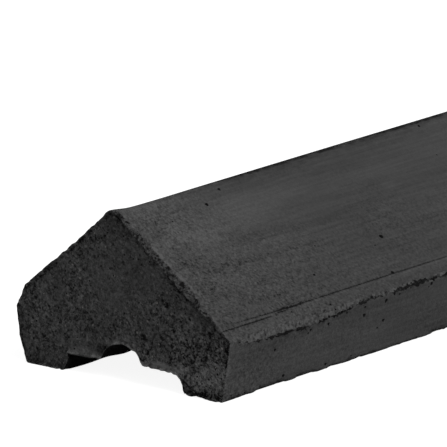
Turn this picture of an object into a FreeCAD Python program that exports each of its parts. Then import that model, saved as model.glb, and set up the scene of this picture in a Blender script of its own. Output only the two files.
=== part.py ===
"""A saddle-back concrete wall cap: one casting, roof-shaped above and channelled below.

Frame: X across the wall, Y along the cap, Z up. The origin lies under the middle of
the cap, at the level of the two feet that it stands on. Millimetres.
"""

import FreeCAD
import Part
import Sketcher
import math
import os

# alias, value in millimetres, what it measures
SIZES = [
    ("cap_length", 1840.0, "end face to end face"),
    ("cap_width", 140.0, "eave to eave, the widest part of the section"),
    ("cap_height", 80.0, "underside of the feet to the top of the rounded ridge"),
    ("eave_height", 29.0, "underside of the feet to the eaves"),
    ("side_draft", 7.0, "how far each side face leans in from eave to foot"),
    ("ridge_radius", 6.0, "round along the ridge"),
    ("channel_width", 71.0, "wall channel, across its flat soffit"),
    ("channel_depth", 9.0, "underside of the feet up to the soffit"),
    ("channel_draft", 4.0, "how far each channel wall leans out from soffit to foot"),
    ("groove_width", 26.0, "bedding groove, across its mouth in the soffit"),
    ("groove_depth", 9.0, "soffit up to the crown of the groove"),
    ("foot_radius", 4.0, "round on the feet, along the channel's mouth"),
    ("corner_radius", 2.0, "inside corners between the soffit and the channel walls"),
    ("arris_radius", 1.5, "eaves, outer edges of the feet and lips of the groove"),
]
VALUE = {alias: value for alias, value, _ in SIZES}
START, END, CENTRE = 1, 2, 3
H_AXIS, V_AXIS = -1, -2


def vec(x, z):
    """A point of the section, in the sketch's own plane."""
    return FreeCAD.Vector(x, z, 0)


def add_sizes(doc):
    """The sheet of driving dimensions: one row for each, its value under an alias."""
    sheet = doc.addObject("Spreadsheet::Sheet", "Sizes")
    for row, (alias, value, meaning) in enumerate(SIZES, start=1):
        sheet.set(f"A{row}", meaning)
        sheet.set(f"B{row}", str(value))
        sheet.setAlias(f"B{row}", alias)
    doc.recompute()
    return sheet


def add_sketch(body, name):
    """An empty sketch on the body's XZ plane, which cuts the cap square across."""
    sketch = body.newObject("Sketcher::SketchObject", name)
    plane = next(o for o in body.Origin.OriginFeatures if o.Role == "XZ_Plane")
    sketch.AttachmentSupport = (plane, "")
    sketch.MapMode = "FlatFace"
    return sketch


def close_outline(sketch, count):
    """Joins the end of each of the outline's first `count` edges to the next one's start."""
    for i in range(count):
        sketch.addConstraint(Sketcher.Constraint("Coincident", i, END, (i + 1) % count, START))


def bind(sketch, name, expression, *constraint):
    """Adds a named dimension to the sketch and ties its size to the sheet."""
    index = sketch.addConstraint(Sketcher.Constraint(*constraint))
    sketch.renameConstraint(index, name)
    sketch.setExpression(f"Constraints.{name}", expression)


def draw_section(sketch):
    """The outside of the cap: flat base, leaning sides, two slopes and a round ridge."""
    eave_x = VALUE["cap_width"] / 2
    eave_z = VALUE["eave_height"]
    foot_x = eave_x - VALUE["side_draft"]
    radius = VALUE["ridge_radius"]
    centre_z = VALUE["cap_height"] - radius
    to_centre = math.hypot(eave_x, centre_z - eave_z)
    pitch = math.atan2(centre_z - eave_z, eave_x) + math.asin(radius / to_centre)
    touch = vec(radius * math.sin(pitch), centre_z + radius * math.cos(pitch))
    mirrored = vec(-touch.x, touch.y)
    ridge = Part.ArcOfCircle(
        Part.Circle(vec(0, centre_z), FreeCAD.Vector(0, 0, 1), radius),
        math.pi / 2 - pitch,
        math.pi / 2 + pitch,
    )
    base, right, slope_right, arc, slope_left, left = sketch.addGeometry(
        [
            Part.LineSegment(vec(-foot_x, 0), vec(foot_x, 0)),
            Part.LineSegment(vec(foot_x, 0), vec(eave_x, eave_z)),
            Part.LineSegment(vec(eave_x, eave_z), touch),
            ridge,
            Part.LineSegment(mirrored, vec(-eave_x, eave_z)),
            Part.LineSegment(vec(-eave_x, eave_z), vec(-foot_x, 0)),
        ]
    )
    sketch.addConstraint(
        [
            Sketcher.Constraint("Coincident", base, END, right, START),
            Sketcher.Constraint("Coincident", right, END, slope_right, START),
            Sketcher.Constraint("Tangent", slope_right, END, arc, START),
            Sketcher.Constraint("Tangent", arc, END, slope_left, START),
            Sketcher.Constraint("Coincident", slope_left, END, left, START),
            Sketcher.Constraint("Coincident", left, END, base, START),
            Sketcher.Constraint("PointOnObject", base, START, H_AXIS),
            Sketcher.Constraint("Symmetric", base, START, base, END, V_AXIS),
            Sketcher.Constraint("Symmetric", slope_right, START, slope_left, END, V_AXIS),
            Sketcher.Constraint("PointOnObject", arc, CENTRE, V_AXIS),
        ]
    )
    bind(sketch, "width", "Sizes.cap_width",
         "DistanceX", slope_left, END, slope_right, START, 2 * eave_x)
    bind(sketch, "foot_width", "Sizes.cap_width - 2 * Sizes.side_draft",
         "DistanceX", base, START, base, END, 2 * foot_x)
    bind(sketch, "eave", "Sizes.eave_height",
         "DistanceY", H_AXIS, START, slope_right, START, eave_z)
    bind(sketch, "ridge_centre", "Sizes.cap_height - Sizes.ridge_radius",
         "DistanceY", H_AXIS, START, arc, CENTRE, centre_z)
    bind(sketch, "ridge_round", "Sizes.ridge_radius", "Radius", arc, radius)


def draw_channel(sketch):
    """The wall channel: a shallow trapezium, wider at its mouth so that the cap strips clean."""
    soffit_x = VALUE["channel_width"] / 2
    mouth_x = soffit_x + VALUE["channel_draft"]
    depth = VALUE["channel_depth"]
    mouth, right, soffit, left = sketch.addGeometry(
        [
            Part.LineSegment(vec(-mouth_x, 0), vec(mouth_x, 0)),
            Part.LineSegment(vec(mouth_x, 0), vec(soffit_x, depth)),
            Part.LineSegment(vec(soffit_x, depth), vec(-soffit_x, depth)),
            Part.LineSegment(vec(-soffit_x, depth), vec(-mouth_x, 0)),
        ]
    )
    close_outline(sketch, 4)
    sketch.addConstraint(
        [
            Sketcher.Constraint("PointOnObject", mouth, START, H_AXIS),
            Sketcher.Constraint("Symmetric", mouth, START, mouth, END, V_AXIS),
            Sketcher.Constraint("Symmetric", soffit, START, soffit, END, V_AXIS),
        ]
    )
    bind(sketch, "mouth_width", "Sizes.channel_width + 2 * Sizes.channel_draft",
         "DistanceX", mouth, START, mouth, END, 2 * mouth_x)
    bind(sketch, "soffit_width", "Sizes.channel_width",
         "DistanceX", left, START, right, END, 2 * soffit_x)
    bind(sketch, "depth", "Sizes.channel_depth",
         "DistanceY", H_AXIS, START, soffit, START, depth)


def draw_groove(sketch):
    """The bedding groove: one arc from lip to lip, crowned above the channel's soffit.

    Its closing chord lies in the soffit, so the arc's radius follows from width and depth.
    """
    half = VALUE["groove_width"] / 2
    depth = VALUE["groove_depth"]
    soffit_z = VALUE["channel_depth"]
    crown_z = soffit_z + depth
    radius = (half**2 + depth**2) / (2 * depth)
    centre_z = crown_z - radius
    lean = math.atan2(soffit_z - centre_z, half)
    crown = Part.ArcOfCircle(
        Part.Circle(vec(0, centre_z), FreeCAD.Vector(0, 0, 1), radius),
        lean,
        math.pi - lean,
    )
    lips = Part.LineSegment(vec(-half, soffit_z), vec(half, soffit_z))
    chord, arc = sketch.addGeometry([lips, crown])
    close_outline(sketch, 2)
    sketch.addConstraint(Sketcher.Constraint("Symmetric", chord, START, chord, END, V_AXIS))
    bind(sketch, "lip_to_lip", "Sizes.groove_width",
         "DistanceX", chord, START, chord, END, 2 * half)
    bind(sketch, "lip_height", "Sizes.channel_depth",
         "DistanceY", H_AXIS, START, chord, START, soffit_z)
    bind(sketch, "crown_round",
         "((Sizes.groove_width / 2) ^ 2 + Sizes.groove_depth ^ 2) / (2 * Sizes.groove_depth)",
         "Radius", arc, radius)


def run_full_length(feature, sketch):
    """Carries a profile evenly both ways from the middle, out to the two end faces."""
    feature.Profile = sketch
    feature.Type = "Length"
    feature.SideType = "Symmetric"
    feature.setExpression("Length", "Sizes.cap_length")


def cut(doc, body, name, sketch):
    """Pockets a profile along the whole cap, and makes sure that it took material away."""
    before = body.Shape.Volume
    pocket = body.newObject("PartDesign::Pocket", name)
    run_full_length(pocket, sketch)
    doc.recompute()
    if not pocket.Shape.Volume < before - 1:
        raise RuntimeError(f"{name} cut nothing")


def long_edges(shape, corners):
    """Names of the edges that run along the cap through these corners of its section."""
    found = []
    for x, z in corners:
        for index, edge in enumerate(shape.Edges, start=1):
            middle = edge.CenterOfMass
            if abs(middle.x - x) < 0.01 and abs(middle.z - z) < 0.01 and abs(middle.y) < 0.01:
                found.append(f"Edge{index}")
    if len(found) != len(corners):
        raise RuntimeError(f"{len(found)} of {len(corners)} edges found to round")
    return found


def round_edges(doc, body, name, size, corners):
    """Rounds both edges, left and right, at each of these corners of the section."""
    base = body.Tip
    both = [(side * x, z) for x, z in corners for side in (-1, 1)]
    fillet = body.newObject("PartDesign::Fillet", name)
    fillet.Base = (base, long_edges(base.Shape, both))
    fillet.setExpression("Radius", f"Sizes.{size}")
    doc.recompute()


def check(doc, body):
    """Stops the build on a failed feature, or on a shape that isn't one sound solid."""
    failed = [o.Name for o in doc.Objects if {"Invalid", "Error"} & set(o.State)]
    if failed:
        raise RuntimeError(f"failed: {failed}")
    shape = body.Shape
    if shape.isNull() or not shape.isValid() or len(shape.Solids) != 1:
        raise RuntimeError("the cap isn't one valid solid")


def build_cap(doc):
    """The whole cap as one body: section, wall channel, bedding groove, rounded edges."""
    body = doc.addObject("PartDesign::Body", "WallCap")
    body.Label = "wall_cap"

    section = add_sketch(body, "Section")
    draw_section(section)
    doc.recompute()
    run_full_length(body.newObject("PartDesign::Pad", "Casting"), section)
    doc.recompute()

    channel = add_sketch(body, "ChannelProfile")
    draw_channel(channel)
    doc.recompute()
    cut(doc, body, "WallChannel", channel)

    groove = add_sketch(body, "GrooveProfile")
    draw_groove(groove)
    doc.recompute()
    cut(doc, body, "BeddingGroove", groove)

    eave = (VALUE["cap_width"] / 2, VALUE["eave_height"])
    foot = (VALUE["cap_width"] / 2 - VALUE["side_draft"], 0)
    soffit_corner = (VALUE["channel_width"] / 2, VALUE["channel_depth"])
    mouth = (VALUE["channel_width"] / 2 + VALUE["channel_draft"], 0)
    lip = (VALUE["groove_width"] / 2, VALUE["channel_depth"])
    round_edges(doc, body, "FootRounds", "foot_radius", [mouth])
    round_edges(doc, body, "CornerRounds", "corner_radius", [soffit_corner])
    round_edges(doc, body, "ArrisRounds", "arris_radius", [eave, foot, lip])
    return body


def main():
    doc = FreeCAD.newDocument("WallCap")
    add_sizes(doc)
    cap = build_cap(doc)
    check(doc, cap)
    os.makedirs("parts", exist_ok=True)
    cap.Shape.exportStep(f"parts/{cap.Label}.step")
    box = cap.Shape.BoundBox
    print(f"{cap.Label}: {box.XLength:.1f} x {box.YLength:.1f} x {box.ZLength:.1f} mm,"
          f" {cap.Shape.Volume / 1e6:.3f} litres")


main()
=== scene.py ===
# %% [markdown]
# # A wall cap cast in dark concrete
#
# A wall cap is one long casting that sits over the top of a garden wall or a concrete fence. Its two slopes
# shed the rain, its two feet stand on the wall, and the channel between them keeps it from sliding off. This
# lesson gives such a cap the surface that a casting really has: faces that the mould left smooth and lightly
# streaked, ends that show the sand and stone, arrises that broke when it was stripped, and a rough
# underside.
#
# The construction comes first, as a fixed model at real size. Everything below is fitted to it, in metres,
# with X across the cap, Y along it and Z up.

# %% Load the construction
import math

import bpy
import numpy as np
from mathutils import Matrix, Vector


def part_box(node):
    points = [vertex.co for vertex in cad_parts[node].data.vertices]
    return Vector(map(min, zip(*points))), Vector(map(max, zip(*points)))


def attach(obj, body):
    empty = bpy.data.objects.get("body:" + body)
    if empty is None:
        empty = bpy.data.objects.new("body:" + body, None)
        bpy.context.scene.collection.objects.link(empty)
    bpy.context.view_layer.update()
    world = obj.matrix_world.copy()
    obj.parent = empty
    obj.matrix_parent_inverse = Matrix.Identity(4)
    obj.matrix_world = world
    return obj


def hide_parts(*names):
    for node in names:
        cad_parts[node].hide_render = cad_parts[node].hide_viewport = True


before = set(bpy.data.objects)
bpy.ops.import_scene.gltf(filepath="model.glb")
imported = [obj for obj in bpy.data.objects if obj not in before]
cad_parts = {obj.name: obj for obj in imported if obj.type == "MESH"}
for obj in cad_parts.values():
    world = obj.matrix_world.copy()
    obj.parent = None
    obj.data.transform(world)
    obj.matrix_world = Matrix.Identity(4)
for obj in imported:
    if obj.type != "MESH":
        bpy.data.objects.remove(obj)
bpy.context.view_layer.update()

MM = 0.001
NODE = "wall_cap"
cap_low, cap_high = (np.array(corner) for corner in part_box(NODE))
near_end, far_end = cap_low[1], cap_high[1]
print("cap in mm:", np.round((cap_high - cap_low) / MM, 1))

# %% [markdown]
# ## The section
#
# The cap has the same section over its whole length, because the mould is one long trough. It is drawn here
# as a closed outline with sharp corners, and each corner is then rounded by the radius that the mould has
# there. The outline could also be cut from the construction's own mesh, but a few corners and radii say
# better what the shape is, and they let the points be as close together as each arris needs.

# %% Corners of the section
EAVE_HALF = 70 * MM  # from the middle to the sharp eave
EAVE_HEIGHT = 29 * MM
SIDE_DRAFT = 7 * MM  # how far a side leans in on its way down, so that the cap leaves the mould
RIDGE_RADIUS = 6 * MM
ARRIS_RADIUS = 1.5 * MM
MOUTH_HALF = 39.5 * MM  # the channel, between the feet
CHANNEL_HALF = 35.5 * MM  # the channel, at its ceiling
CHANNEL_DEPTH = 9 * MM
MOUTH_RADIUS = 4 * MM
CEILING_RADIUS = 2 * MM
GROOVE_HALF = 13 * MM  # the round groove along the middle of the ceiling
GROOVE_DEPTH = 9 * MM
GROOVE_POINTS = 25

SETTLING_STEPS = 20
apex = cap_high[2]
for _ in range(SETTLING_STEPS):  # the rounding takes the sharp apex down to the cap's height
    pitch = math.atan2(apex - EAVE_HEIGHT, EAVE_HALF)
    apex = cap_high[2] + RIDGE_RADIUS * (1 / math.cos(pitch) - 1)

groove_radius = (GROOVE_HALF**2 + GROOVE_DEPTH**2) / (2 * GROOVE_DEPTH)
groove_angle = math.asin(GROOVE_HALF / groove_radius)
angles = np.linspace(groove_angle, -groove_angle, GROOVE_POINTS)
groove = np.stack([
    groove_radius * np.sin(angles),
    CHANNEL_DEPTH + GROOVE_DEPTH - groove_radius * (1 - np.cos(angles)),
], axis=1)

right_side = [
    (EAVE_HALF, EAVE_HEIGHT, ARRIS_RADIUS),
    (EAVE_HALF - SIDE_DRAFT, 0, ARRIS_RADIUS),
    (MOUTH_HALF, 0, MOUTH_RADIUS),
    (CHANNEL_HALF, CHANNEL_DEPTH, CEILING_RADIUS),
]
left_side = [(-x, z, radius) for x, z, radius in reversed(right_side)]
lips = [(x, z, ARRIS_RADIUS * (abs(x) == GROOVE_HALF)) for x, z in groove]
lips[0] = (*groove[0], ARRIS_RADIUS)
lips[-1] = (*groove[-1], ARRIS_RADIUS)
corners = np.array([(0, apex, RIDGE_RADIUS), *right_side, *lips, *left_side])
print("corners of the section:", len(corners), "pitch:", round(math.degrees(pitch), 1))

# %% Round the corners
ARC_POINTS = 25


def rounded(corners, arc_points):
    """A closed outline whose corners are arcs, as points in order, and the number of each arc's middle
    point.

    An arc starts and ends radius * tan(turn / 2) from its corner, along the two sides that meet there. Its
    centre lies one radius square to the side at the start, and its points are the centre plus that radius
    turned evenly from the start to the end."""
    place, radius = corners[:, :2], corners[:, 2]
    side_in = place - np.roll(place, 1, axis=0)
    side_in /= np.linalg.norm(side_in, axis=1, keepdims=True)
    side_out = np.roll(side_in, -1, axis=0)
    cross = side_in[:, 0] * side_out[:, 1] - side_in[:, 1] * side_out[:, 0]
    turn = np.arctan2(cross, (side_in * side_out).sum(axis=1))
    square = np.stack([-side_in[:, 1], side_in[:, 0]], axis=1) * np.sign(turn)[:, None]
    start = place - side_in * (radius * np.tan(np.abs(turn) / 2))[:, None]
    centre = start + square * radius[:, None]
    angle = turn[:, None] * np.linspace(0, 1, arc_points)
    arm = -square * radius[:, None]
    x = arm[:, None, 0] * np.cos(angle) - arm[:, None, 1] * np.sin(angle)
    z = arm[:, None, 0] * np.sin(angle) + arm[:, None, 1] * np.cos(angle)
    points = centre[:, None, :] + np.stack([x, z], axis=2)
    return points.reshape(-1, 2), np.arange(len(corners)) * arc_points + arc_points // 2


outline, middles = rounded(corners, ARC_POINTS)
steps = np.linalg.norm(np.diff(outline, axis=0, append=outline[:1]), axis=1)
length_at = np.concatenate([[0], np.cumsum(steps)])  # how far round the outline each point is
feature_at = length_at[middles]
print("round the section in mm:", round(length_at[-1] / MM, 1))

# %% [markdown]
# ## Points round the section
#
# A casting has little to show in the middle of a slope and a lot along its arrises, so the points are close
# together at an arris and further apart between. Two fine lines run along each slope near the eave, where a
# seam of the mould's lining left its mark, and a row of points lies along the longer one. So the outline is
# cut into runs at such places, and each run gets a number of cells that divides by four. Rings with half or
# a quarter of the points can then be used further along the cap, and they still have points on every arris.

# %% Space the points
SCORE_UP = 9 * MM  # the fine line, measured up the slope from the eave
HALF_CELLS = 132  # cells from the ridge to an eave, and from an eave to the middle of the groove
COARSE = 0.95 * MM
GAP_GROWTH = 0.13  # how much the gap grows for each unit of length away from a feature
RIDGE, EAVE, FOOT, MOUTH, CEILING, LIP = range(6)  # the right side's corners, in order
FINE = {RIDGE: 0.6 * MM, EAVE: 0.26 * MM, FOOT: 0.4 * MM, MOUTH: 0.6 * MM, CEILING: 0.6 * MM, LIP: 0.5 * MM}
SCORE_GAP = 0.2 * MM
TABLE_POINTS = 600  # of the integral, in each run


def gap_at(length, features):
    """The wanted gap between points: the smallest, over all features, of the feature's own gap plus a share
    of the distance to it, and never more than the coarse gap."""
    gaps = [fine + GAP_GROWTH * np.abs(length - place) for place, fine in features]
    return np.minimum(COARSE, np.min(gaps, axis=0))


def spaced(stops, features, cells):
    """Places along the outline with a point on every stop. In a run between two stops, the number of cells
    is the integral of 1 / gap, made to divide by four, and the points lie at equal shares of that integral.
    The longest run takes what is over, so that the cells add up."""
    tables = []
    for begin, end in zip(stops[:-1], stops[1:]):
        length = np.linspace(begin, end, TABLE_POINTS)
        density = 1 / gap_at(length, features)
        share = np.concatenate([[0], np.cumsum((density[1:] + density[:-1]) / 2 * np.diff(length))])
        tables.append((length, share))
    counts = np.array([max(4, 4 * round(share[-1] / 4)) for _, share in tables])
    counts[counts.argmax()] += cells - counts.sum()
    runs = [
        np.interp(np.linspace(0, share[-1], count, endpoint=False), share, length)
        for count, (length, share) in zip(counts, tables)
    ]
    print("cells in each run:", counts, "of", counts.sum())
    return np.concatenate(runs), counts


eave_at, foot_at = feature_at[EAVE], feature_at[FOOT]
crown_at = feature_at[LIP + GROOVE_POINTS // 2]
score_at = eave_at - SCORE_UP
features = [(feature_at[corner], fine) for corner, fine in FINE.items()] + [(score_at, SCORE_GAP)]
slope_places, _ = spaced([feature_at[RIDGE], score_at, eave_at], features, HALF_CELLS)
below_stops = [eave_at, foot_at, feature_at[MOUTH], feature_at[CEILING], feature_at[LIP], crown_at]
below_places, below_counts = spaced(below_stops, features, HALF_CELLS)

# %% The ring of points, and which way each faces
RING = 4 * HALF_CELLS
LEFT_EAVE, RIDGE_TOP, RIGHT_EAVE = HALF_CELLS, 2 * HALF_CELLS, 3 * HALF_CELLS
foot_edge = HALF_CELLS + below_counts[0]  # cells from the ridge to the outer edge of a foot
mouth_edge = HALF_CELLS + below_counts[:2].sum()


def on_outline(length):
    """The outline's point at each length round it, by straight lines between its points."""
    closed = np.vstack([outline, outline[:1]])
    wrapped = length % length_at[-1]
    return np.stack([np.interp(wrapped, length_at, closed[:, axis]) for axis in (0, 1)], axis=1)


right = np.concatenate([slope_places, below_places])
FACING_STEP = 0.15 * MM
ahead, behind = on_outline(right + FACING_STEP), on_outline(right - FACING_STEP)
along = (ahead - behind) / np.linalg.norm(ahead - behind, axis=1, keepdims=True)
right_ring = on_outline(right)
right_facing = np.stack([-along[:, 1], along[:, 0]], axis=1)
crown = on_outline(np.array([crown_at]))


def with_left_half(right_half, crown_value, mirror):
    """The whole ring from the right half: it starts at the groove's crown, goes up the left side to the
    ridge and down the right side. The left half is the right half backwards, times the mirror."""
    left_half = np.vstack([crown_value, right_half[:0:-1]]) * mirror
    return np.vstack([left_half, right_half])


mirror = np.array([-1, 1])
ring_place = with_left_half(right_ring, crown, mirror)
ring_facing = with_left_half(right_facing, np.array([[0, -1]]), mirror)
ring_facing[[0, RIDGE_TOP]] = [(0, -1), (0, 1)]
ring_length = np.concatenate([[0], np.cumsum(np.linalg.norm(np.diff(ring_place, axis=0), axis=1))])
gap_range = np.round(np.percentile(np.diff(ring_length) / MM, [0, 50, 100]), 2)
print("points round the section:", len(ring_place), "gaps in mm:", gap_range)

# %% [markdown]
# ## One skin from end to end
#
# The cap is one closed skin, and it can be seen as a single ring of points that is carried along a path. The
# ring starts as a thin loop inside the near end, along a short spine in the middle of the section. It widens
# over the end face until it is the outline, runs the length of the cap, and narrows again over the far end.
# So the whole casting is a function of two parameters: how far round the ring, and how far along the path.
#
# The near end and the first part of the length carry the finest breaks, so the rings are closest there.

# %% The spine inside the ends
SPINE_HALF = 45 * MM
SPINE_SHARE = 0.72  # of an underside point's distance from the middle
SPINE_LOW, SPINE_HIGH = 30 * MM, 46 * MM
ring_number = np.arange(RING)
BACKWARDS = (RIDGE_TOP - ring_number) % RING  # the point below each point of the slopes, and the other way


def spine_of(place):
    """Where each point of the outline goes as an end face narrows. A point of the underside goes to the
    spine at a share of its own distance from the middle, up to the spine's ends, and a point of the slopes
    goes where the underside's point with the same count from the eave goes. The spine rises evenly towards
    its middle."""
    x = np.clip(place[:, 0] * SPINE_SHARE, -SPINE_HALF, SPINE_HALF)
    on_slopes = (ring_number > LEFT_EAVE) & (ring_number < RIGHT_EAVE)
    x = np.where(on_slopes, x[BACKWARDS], x)
    z = SPINE_LOW + (SPINE_HIGH - SPINE_LOW) * (1 - np.abs(x) / SPINE_HALF)
    return np.stack([x, z], axis=1)


ring_spine = spine_of(ring_place)

# %% The rings along the path


def stretch(start, stop, first_gap, last_gap):
    """Places after start, up to stop, whose gaps change evenly from the first to the last."""
    count = max(1, round(2 * abs(stop - start) / (first_gap + last_gap)))
    gaps = np.linspace(first_gap, last_gap, count)
    return start + (stop - start) * np.cumsum(gaps) / gaps.sum()


ARRIS_ZONE = 22 * MM  # at the near end, with every point of the ring
FINE_ZONE = 270 * MM  # up to here with every second point
FAR_ZONE = 40 * MM  # at the far end
LAST_INSET = 0.98  # how far an end face narrows before it is closed across the spine
BORDER = 0.1  # an end face's rings are closest up to this inset
FACE_GAP = 0.033
length = far_end - near_end

path = []  # inset, place along the cap, which points of the ring are used


def add_rings(insets, places, step):
    """Adds one ring to the path for each pair of an inset and a place."""
    path.extend((inset, place, step) for inset, place in np.broadcast(insets, places))


# the near end face from its spine outwards, the length of the cap, and the far end face inwards
add_rings(stretch(LAST_INSET + FACE_GAP, BORDER, FACE_GAP, 0.031), 0, 2)
add_rings(stretch(BORDER, 0, 0.022, 0.012)[:-1], 0, 1)
add_rings(0, [0], 1)
add_rings(0, stretch(0, ARRIS_ZONE, 0.45 * MM, 1.3 * MM), 1)
add_rings(0, stretch(ARRIS_ZONE, FINE_ZONE, 1.6 * MM, 2.1 * MM), 2)
add_rings(0, stretch(FINE_ZONE, 2 * FINE_ZONE, 3 * MM, 10 * MM), 4)
add_rings(0, stretch(2 * FINE_ZONE, length - FAR_ZONE, 10 * MM, 9 * MM), 4)
add_rings(0, stretch(length - FAR_ZONE, length, 2.4 * MM, 0.9 * MM), 2)
add_rings(stretch(0, BORDER, 0.015, 0.03), length, 2)
add_rings(stretch(BORDER, LAST_INSET, 0.05, 0.05), length, 4)
path = np.array(path)
print("rings along the path:", len(path))

# %% Points of the skin
steps_used = path[:, 2].astype(int)
ring_sizes = RING // steps_used
ring_starts = np.concatenate([[0], np.cumsum(ring_sizes)])
round_at = np.concatenate([np.arange(0, RING, step) for step in steps_used])
ring_of = np.repeat(np.arange(len(path)), ring_sizes)
inset = path[ring_of, 0]
from_near = path[ring_of, 1]
from_far = length - from_near
on_near_face = (from_near == 0) & (inset > 0)
on_far_face = (from_far == 0) & (inset > 0)
on_end_face = on_near_face | on_far_face
on_lateral = inset == 0

flat_place = ring_place[round_at] + (ring_spine - ring_place)[round_at] * inset[:, None]
rest = np.stack([flat_place[:, 0], near_end + from_near, flat_place[:, 1]], axis=1)
outward = np.stack([ring_facing[round_at, 0], np.zeros(len(rest)), ring_facing[round_at, 1]], axis=1)
from_outline = np.linalg.norm(ring_spine - ring_place, axis=1)[round_at] * inset
print("points of the skin:", len(rest))

# %% Faces of the skin


def stitched(first, second):
    """The faces between two neighbouring rings of the path, as corner numbers with four to a face.

    Each corner is a pair of the ring's number and the place round the ring. Rings with the same points give
    four-sided faces. Where one has half as many, a cell of the coarse ring meets two of the fine one in
    three triangles, and a triangle repeats its last corner."""
    fine, coarse = min(steps_used[first], steps_used[second]), max(steps_used[first], steps_used[second])
    at = np.arange(0, RING, coarse)
    if fine == coarse:
        cells = [[(first, at), (first, at + coarse), (second, at + coarse), (second, at)]]
    elif steps_used[first] == fine:
        cells = [
            [(first, at), (first, at + fine), (second, at), (second, at)],
            [(first, at + fine), (second, at + coarse), (second, at), (second, at)],
            [(first, at + fine), (first, at + coarse), (second, at + coarse), (second, at + coarse)],
        ]
    else:
        cells = [
            [(first, at), (second, at + fine), (second, at), (second, at)],
            [(first, at), (first, at + coarse), (second, at + fine), (second, at + fine)],
            [(first, at + coarse), (second, at + coarse), (second, at + fine), (second, at + fine)],
        ]
    corners_of_cells = [
        np.stack([np.stack([np.full(len(at), ring), places], axis=1) for ring, places in cell], axis=1)
        for cell in cells
    ]
    return np.concatenate(corners_of_cells)


def closed_across(ring, towards_far):
    """The faces across the spine: each joins two neighbouring points above it to the two below. The first
    and the last have one point at the spine's end twice over, and are triangles."""
    step = steps_used[ring]
    above = np.arange(LEFT_EAVE, RIGHT_EAVE, step)
    below = RIDGE_TOP - above
    rows = [above, below, below - step, above + step]
    rows = np.stack(rows if not towards_far else rows[::-1], axis=1)
    rows[rows < 0] += RING
    return np.stack([np.full(rows.shape, ring), rows], axis=2)


last = len(path) - 1
strips = [stitched(ring, ring + 1) for ring in range(last)]
faces = np.concatenate([closed_across(0, False), *strips, closed_across(last, True)])
face_ring, face_round = faces[:, :, 0], faces[:, :, 1]
vertex = ring_starts[face_ring] + (face_round // steps_used[face_ring]) % ring_sizes[face_ring]
repeated = vertex == np.roll(vertex, 1, axis=1)
triangles_made = int((4 - repeated.sum(axis=1) - 2).sum())
print("faces:", len(faces), "triangles:", triangles_made)

# %% [markdown]
# ## Noise to break a surface with
#
# Broken concrete has no pattern, but it has scales: clods of several millimetres, stones of two, sand of
# one. Each scale is a smooth random field in space. Because the fields are read at a point's place in space,
# they run on round every arris without a seam. Blender has such noises for one point at a time, but here
# they are worked out for all the points at once, from whole numbers that are mixed until they look random.

# %% Random fields in space
FAR_OFF = 9.0  # further than anything that is looked for, in cells, metres or radii


def scrambled(cells, seed):
    """A fixed random number from 0 to 1 for each cell of space. The cell's three whole numbers and the seed
    are multiplied by large odd numbers and mixed, and the upper bits of the product are the number."""
    whole = cells.astype(np.int64).view(np.uint64)
    factors = np.array([0x9E3779B185EBCA87, 0xC2B2AE3D27D4EB4F, 0x165667B19E3779F9], np.uint64)
    mixed = np.bitwise_xor.reduce(whole * factors, axis=-1) ^ np.uint64(seed * 0x27D4EB2F165667C5 % 2**64)
    for shift in (33, 29):
        mixed = (mixed ^ (mixed >> np.uint64(shift))) * np.uint64(0xFF51AFD7ED558CCD)
    return (mixed >> np.uint64(11)).astype(float) / 2**53


def clods(points, size, seed):
    """Smooth noise from -1 to 1. Each corner of a grid of cells has a random number, and a point between
    them gets their average, weighted along each axis by 6t^5 - 15t^4 + 10t^3. The cell's size is in
    millimetres, as one number or as one for each axis."""
    scaled = points / (np.array(size) * MM)
    base = np.floor(scaled)
    t = scaled - base
    weight = t**3 * (t * (6 * t - 15) + 10)
    total = np.zeros(len(points))
    for corner in np.ndindex(2, 2, 2):
        share = np.where(corner, weight, 1 - weight).prod(axis=1)
        total += share * scrambled(base + corner, seed)
    return 2 * total - 1


def rubble(points, size, seed, octaves=3):
    """Noise on several scales: each octave has cells half the size of the last and counts 0.55 as much."""
    total, weight, weights = np.zeros(len(points)), 1.0, 0.0
    for octave in range(octaves):
        total += weight * clods(points, np.array(size) / 2**octave, seed + 17 * octave)
        weights += weight
        weight *= 0.55
    return total / weights


def pebbles(points, size, seed):
    """How far a point is, in cells, from the nearest of stones that are strewn one to a cell: 0 on top of a
    stone and about 1 in the crease between stones."""
    scaled = points / (size * MM)
    base = np.floor(scaled)
    nearest = np.full(len(points), FAR_OFF)
    for near in np.ndindex(3, 3, 3):
        cell = base + near - 1
        stone = cell + np.stack([scrambled(cell, seed + axis) for axis in range(3)], axis=1)
        nearest = np.minimum(nearest, np.linalg.norm(scaled - stone, axis=1))
    return nearest


def ramp(value, low, high):
    """0 below low, 1 above high, and 3t^2 - 2t^3 between."""
    t = np.clip((value - low) / (high - low), 0, 1)
    return t * t * (3 - 2 * t)


def bell(distance, reach):
    """exp(-t^2), where t is the distance over the reach."""
    return np.exp(-((distance / reach) ** 2))


def fade(distance, reach):
    """exp(-t), where t is the distance over the reach."""
    return np.exp(-distance / reach)


# %% [markdown]
# ## What the mould leaves
#
# The slopes and sides lay against the mould. They are flat to a fraction of a millimetre, with slow waves
# where the lining gave a little. The two fine lines near each eave are real grooves, three tenths of a
# millimetre deep. The main one bends up the slope as it comes to the near end, and the other starts below it
# there and runs up into it.

# %% Waves of the formed faces, and the scored lines
skin = rest.copy()
cells_from_ridge = np.abs(round_at - RIDGE_TOP)
on_slope = cells_from_ridge < HALF_CELLS
formed = cells_from_ridge <= foot_edge
side_of = np.where(round_at < RIDGE_TOP, -1, 1)
eave_of = np.where(side_of > 0, ring_length[RIGHT_EAVE], ring_length[LEFT_EAVE])
below_eave = (ring_length[round_at] - eave_of) * side_of  # round the outline, and negative on a slope
up_slope = np.where(on_slope, -below_eave, 0)

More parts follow.
